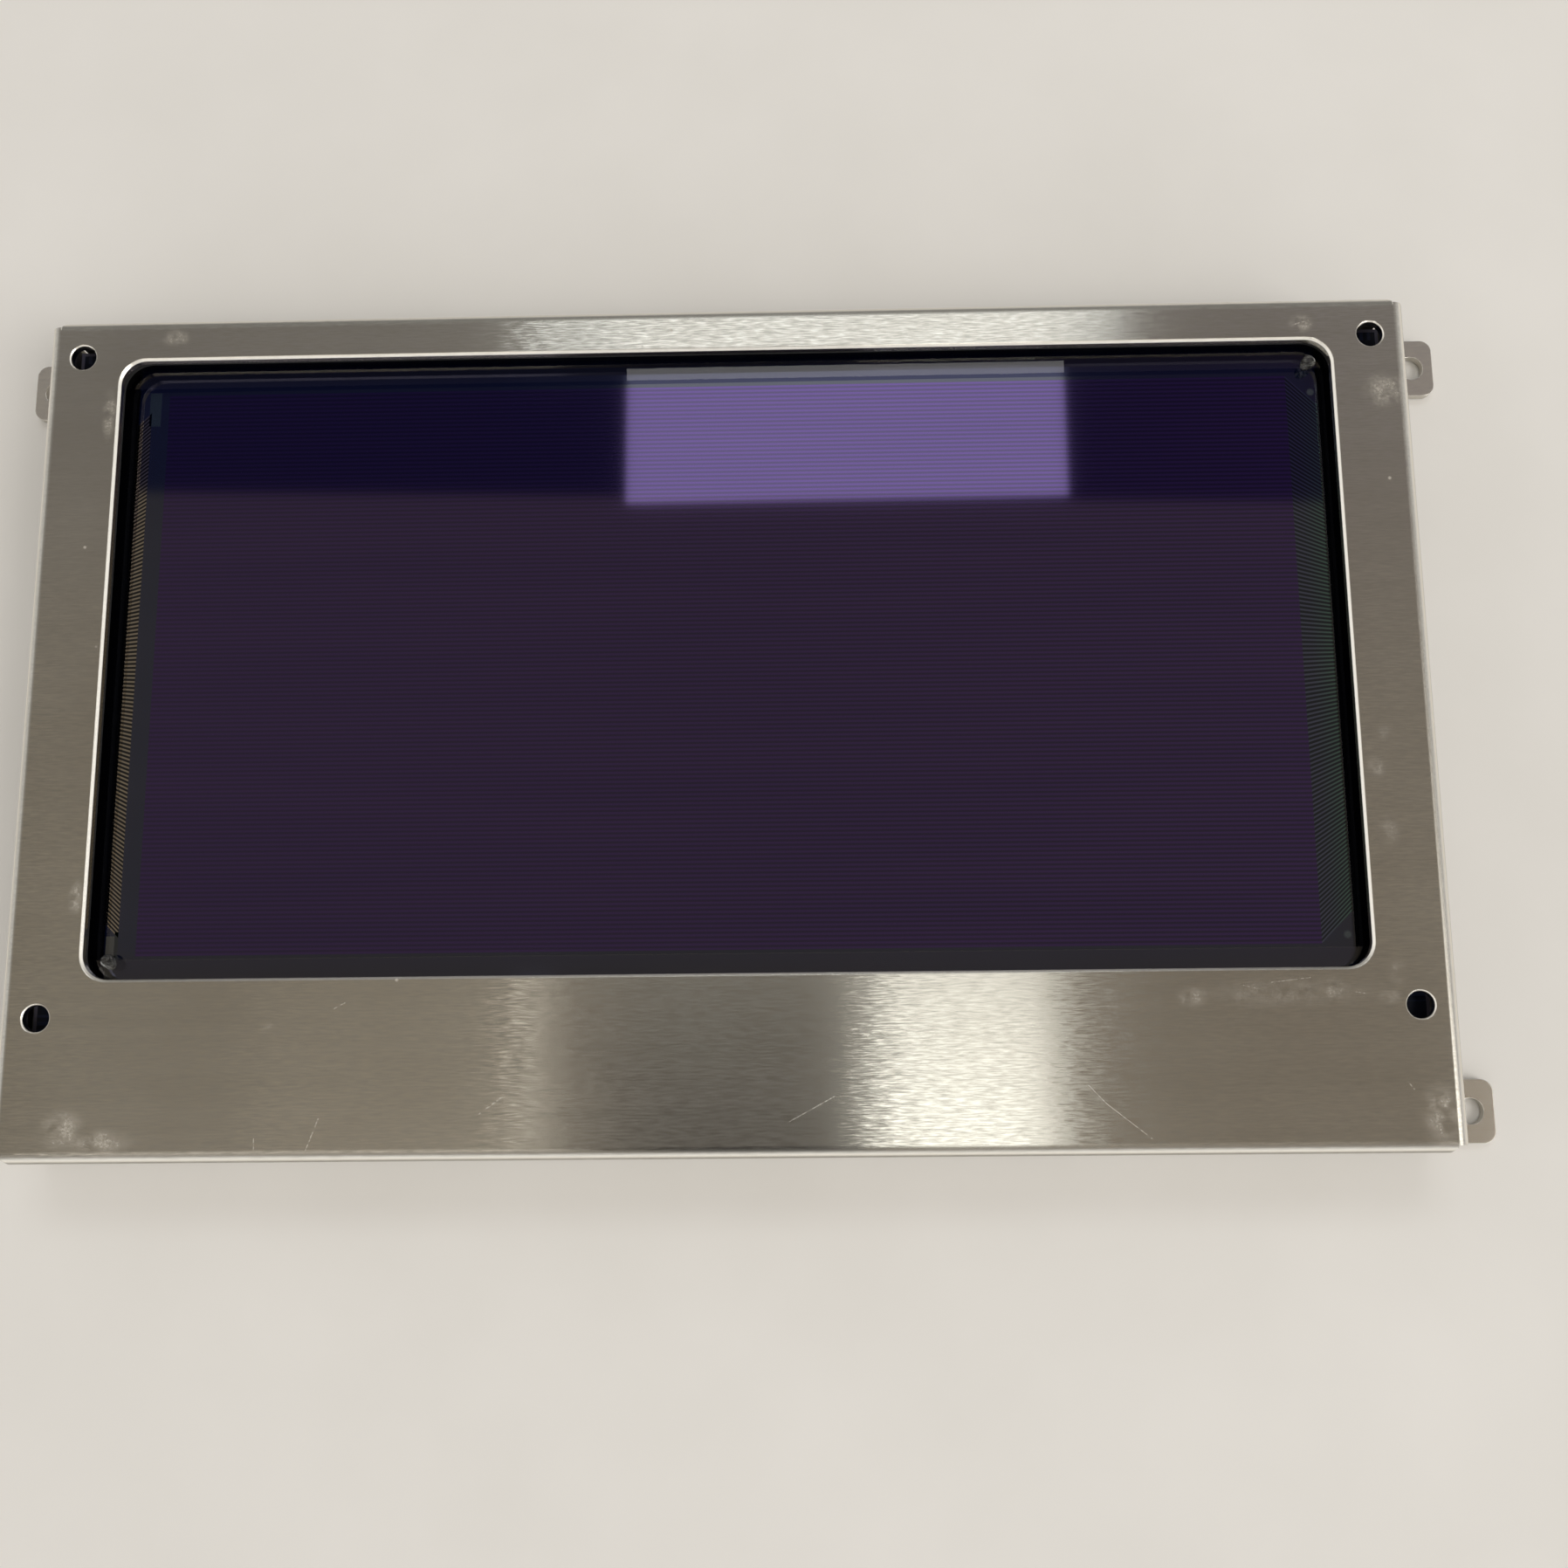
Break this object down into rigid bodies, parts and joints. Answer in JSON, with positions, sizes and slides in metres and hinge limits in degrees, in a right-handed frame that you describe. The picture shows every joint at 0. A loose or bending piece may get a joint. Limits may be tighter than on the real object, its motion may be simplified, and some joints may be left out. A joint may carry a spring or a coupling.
{
  "type": "flat panel display module",
  "caption": "Flat glass display module in a folded brushed stainless steel bezel with a rounded window, front fixing holes, rear mounting ears and a driver board behind.",
  "frame": {"origin": "middle of the outline, in the rear plane of the mounting ears", "axes": "+X along the long side to the viewer's right, +Y up the picture, +Z out of the front face"},
  "size_m": [0.254, 0.142, 0.0185],
  "materials": {
    "brushed_stainless": "brushed along X, with fine scratches",
    "black_foam": "matt closed-cell foam",
    "panel_glass": "polished clear glass",
    "electrode_film": "dark violet thin film with fine row lines",
    "seal_resin": "cured resin",
    "cover_glass": "polished glass",
    "clear_adhesive": "clear glossy adhesive",
    "contact_elastomer": "layered grey elastomer",
    "circuit_board": "dark blue solder mask over copper",
    "plated_steel": "bright zinc plate",
    "chip_resin": "fine matt mould with tinned leads",
    "transistor_resin": "fine matt mould with a tinned tab",
    "moulded_black": "moulded black plastic",
    "ferrite": "ground grey ferrite",
    "winding_tape": "amber film tape",
    "enamelled_copper": "close-wound enamelled copper wire",
    "capacitor_can": "satin drawn can on a black base",
    "ceramic": "tan ceramic with tinned ends",
    "gilt_pins": "gilt"
  },
  "bodies": {
    "root": {"bezel": "brushed_stainless", "window_gasket": "black_foam", "foam_pad_1": "black_foam", "foam_pad_2": "black_foam", "foam_pad_3": "black_foam", "front_glass": "panel_glass", "electrode_film": "electrode_film", "panel_seal": "seal_resin", "fill_plug": "seal_resin", "cover_glass": "cover_glass", "adhesive_dab_1": "clear_adhesive", "adhesive_dab_2": "clear_adhesive", "contact_strip_left": "contact_elastomer", "contact_strip_right": "contact_elastomer", "contact_strip_top": "contact_elastomer", "contact_strip_bottom": "contact_elastomer", "driver_board": "circuit_board", "board_standoffs": "plated_steel", "board_screws": "plated_steel", "row_driver_1": "chip_resin", "row_driver_2": "chip_resin", "row_driver_3": "chip_resin", "row_driver_4": "chip_resin", "column_driver_1": "chip_resin", "column_driver_2": "chip_resin", "column_driver_3": "chip_resin", "column_driver_4": "chip_resin", "column_driver_5": "chip_resin", "column_driver_6": "chip_resin", "column_driver_7": "chip_resin", "column_driver_8": "chip_resin", "controller_chip": "chip_resin", "power_transistor_1": "transistor_resin", "power_transistor_2": "transistor_resin", "power_transistor_3": "transistor_resin", "power_transistor_4": "transistor_resin", "transformer_bobbin": "moulded_black", "data_header": "moulded_black", "transformer_core": "ferrite", "choke_core": "ferrite", "transformer_winding": "winding_tape", "choke_winding": "enamelled_copper", "smoothing_capacitor_1": "capacitor_can", "smoothing_capacitor_2": "capacitor_can", "smoothing_capacitor_3": "capacitor_can", "chip_capacitors": "ceramic", "header_pins": "gilt_pins"}
  },
  "joints": []
}
